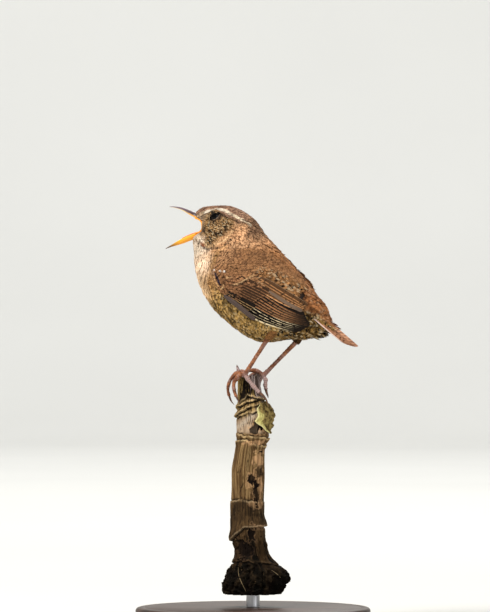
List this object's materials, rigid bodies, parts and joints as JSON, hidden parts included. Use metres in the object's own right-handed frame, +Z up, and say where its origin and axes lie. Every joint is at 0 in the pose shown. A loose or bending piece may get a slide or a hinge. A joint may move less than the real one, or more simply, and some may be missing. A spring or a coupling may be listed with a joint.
{
  "type": "wren",
  "caption": "Still life-size singing wren, bill open, gripping the broken top of an upright stem, on a round display stand.",
  "frame": {"origin": "middle of the stand base's underside", "axes": "+Z up; the bird faces -X, its left side is -Y"},
  "size_m": [0.09, 0.09, 0.1599],
  "materials": {
    "plumage": "soft rufous brown feathers, barred dark, buff below",
    "flight_feathers": "dark brown quills barred rufous and buff",
    "bill_upper": "satin horn, dark brown with a pale cutting edge",
    "bill_lower": "satin horn, yellow orange with a dark tip",
    "mouth": "moist yellow orange",
    "eyes": "wet black brown",
    "legs": "scaly pinkish brown",
    "claws": "satin dark horn",
    "bark": "dry cracked brown bark",
    "pale_bark": "pale curled inner bark",
    "stand_wood": "dark stained satin wood",
    "stand_steel": "satin steel"
  },
  "bodies": {
    "root": {"head": "plumage", "neck": "plumage", "trunk": "plumage", "rump": "plumage", "thigh_left": "plumage", "thigh_right": "plumage", "tail": "flight_feathers", "wing_left_coverts": "plumage", "wing_left_primaries": "flight_feathers", "wing_left_secondaries": "flight_feathers", "wing_right_coverts": "plumage", "wing_right_primaries": "flight_feathers", "wing_right_secondaries": "flight_feathers", "bill_upper": "bill_upper", "bill_lower": "bill_lower", "tongue": "mouth", "eye_left": "eyes", "eye_right": "eyes", "shank_left": "legs", "shank_right": "legs", "toe_left_1": "legs", "toe_left_2": "legs", "toe_left_3": "legs", "toe_left_4": "legs", "toe_right_1": "legs", "toe_right_2": "legs", "toe_right_3": "legs", "toe_right_4": "legs", "claw_left_1": "claws", "claw_left_2": "claws", "claw_left_3": "claws", "claw_left_4": "claws", "claw_right_1": "claws", "claw_right_2": "claws", "claw_right_3": "claws", "claw_right_4": "claws", "perch_stem": "bark", "perch_splinter": "bark", "perch_bark_flap": "pale_bark", "stand_base": "stand_wood", "stand_rod": "stand_steel"}
  },
  "joints": []
}
